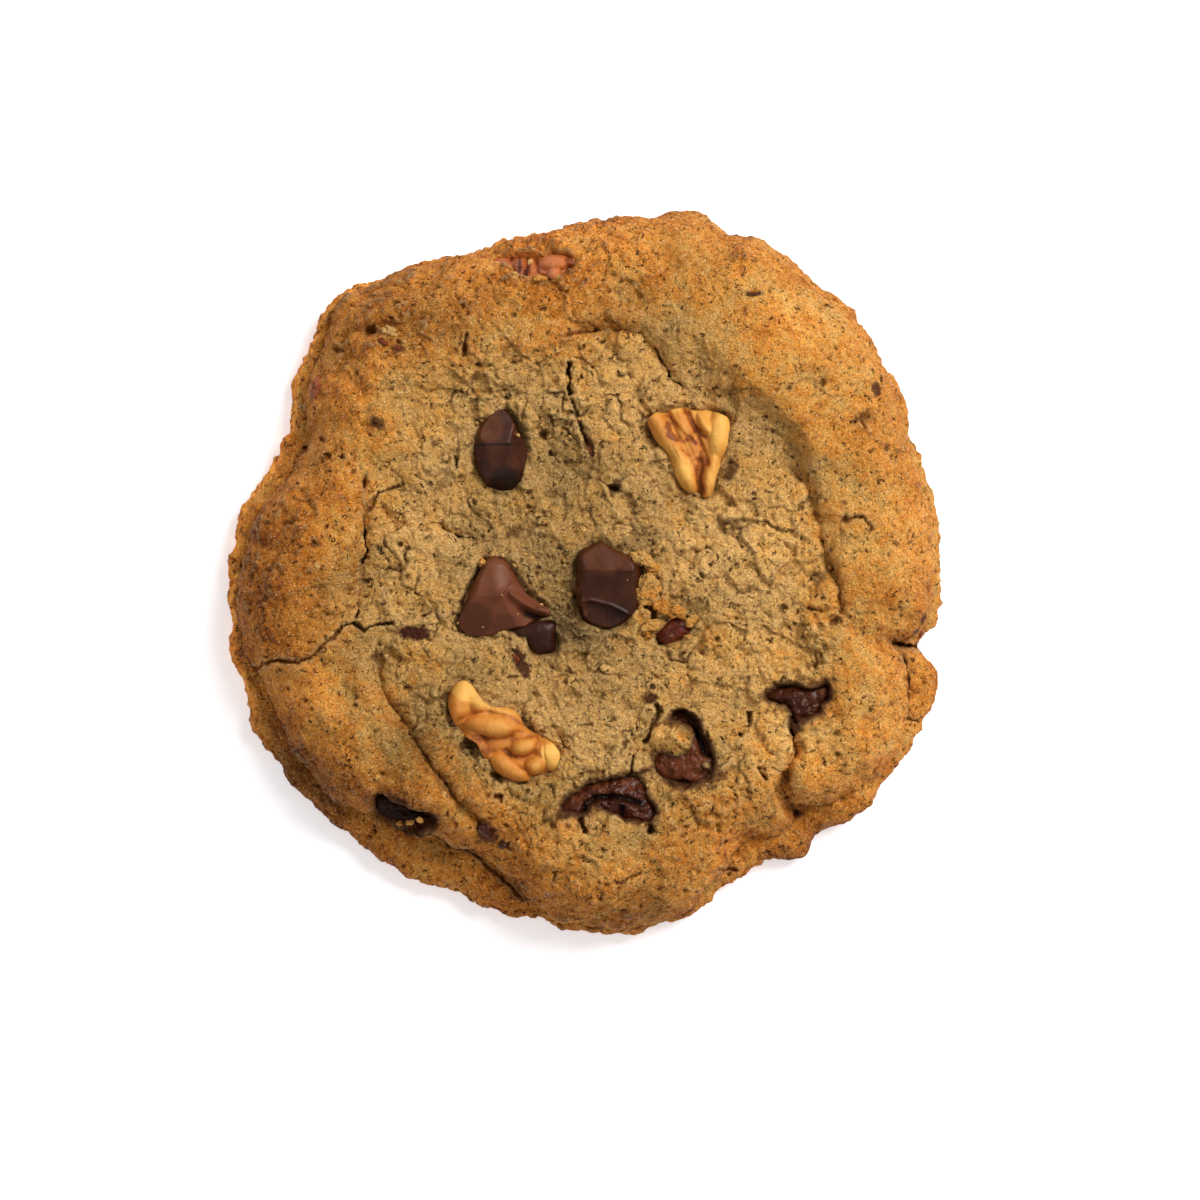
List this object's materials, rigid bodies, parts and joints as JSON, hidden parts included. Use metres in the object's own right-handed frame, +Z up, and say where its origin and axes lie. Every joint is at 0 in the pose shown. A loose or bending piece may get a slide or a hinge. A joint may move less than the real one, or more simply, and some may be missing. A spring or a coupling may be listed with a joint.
{
  "type": "chocolate chip cookie",
  "caption": "Round soft cookie with a browned rim and low foot round a sunken middle, set with chocolate chunks, melted chocolate, walnut and pecan.",
  "frame": {"origin": "middle of the flat base, under the centre of the cookie's bounding box", "axes": "+Z up out of the top face; +Y towards the pecan in the rim, +X to the right of it as seen from above"},
  "size_m": [0.099, 0.1, 0.015],
  "materials": {
    "dough": "baked crumb, browned at the rim",
    "dark_chocolate": "satin broken chocolate",
    "milk_chocolate": "satin",
    "melted_chocolate": "melted and set, glossy",
    "walnut": "roasted nut, slightly oily",
    "nut_skin": "red-brown nut skin"
  },
  "bodies": {
    "root": {"dough": "dough", "dark_chunk_upper": "dark_chocolate", "dark_chunk_middle": "dark_chocolate", "milk_chip": "milk_chocolate", "melted_tail": "melted_chocolate", "melted_bottom": "melted_chocolate", "melted_ring": "melted_chocolate", "chunk_right": "melted_chocolate", "chunk_lower_left": "melted_chocolate", "walnut_upper": "walnut", "walnut_lower": "walnut", "pecan": "nut_skin", "nut_piece": "nut_skin"}
  },
  "joints": []
}
